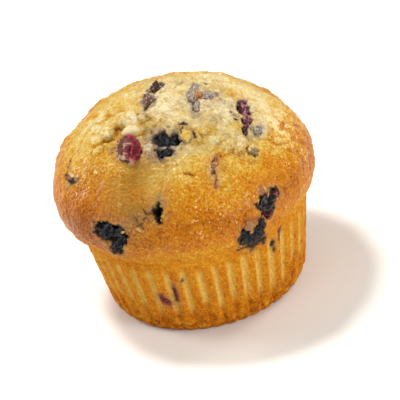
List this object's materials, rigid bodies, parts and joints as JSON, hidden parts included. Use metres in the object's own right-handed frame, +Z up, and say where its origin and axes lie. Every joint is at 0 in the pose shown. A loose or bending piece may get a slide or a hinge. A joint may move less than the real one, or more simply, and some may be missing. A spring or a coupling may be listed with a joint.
{
  "type": "blueberry muffin",
  "caption": "Muffin with a domed, torn golden crown over a fluted tapering side, baked without its paper case showing, with whole and burst berries set in the crumb.",
  "frame": {"origin": "middle of the flat foot, on the surface that the muffin stands on", "axes": "+Z up through the crown; -Y is the side with the smooth furrow that runs down from the tear in the crown; +X to the right seen from there"},
  "size_m": [0.0684, 0.0696, 0.0556],
  "materials": {
    "crust": "golden baked crust, lightly buttery",
    "berry_skin": "dark wrinkled berry skin",
    "berry_flesh": "wet crimson berry flesh",
    "berry_bloom": "dusty grey berry skin"
  },
  "bodies": {
    "root": {"muffin": "crust", "berry_crimson": "berry_flesh", "berry_burst": "berry_skin", "berry_summit": "berry_skin", "berry_summit_low": "berry_bloom", "berry_dusty": "berry_bloom", "berry_plum": "berry_flesh", "berry_grey": "berry_bloom", "berry_green": "berry_bloom", "berry_left_slit": "berry_bloom", "berry_pit": "berry_skin", "berry_left": "berry_skin", "berry_right": "berry_skin", "berry_right_low": "berry_skin", "berry_slit": "berry_flesh", "berry_back_high": "berry_skin", "berry_back_upper": "berry_skin", "berry_back_middle": "berry_skin", "berry_back_left": "berry_skin", "berry_back_right": "berry_skin", "berry_back_low": "berry_skin"}
  },
  "joints": []
}
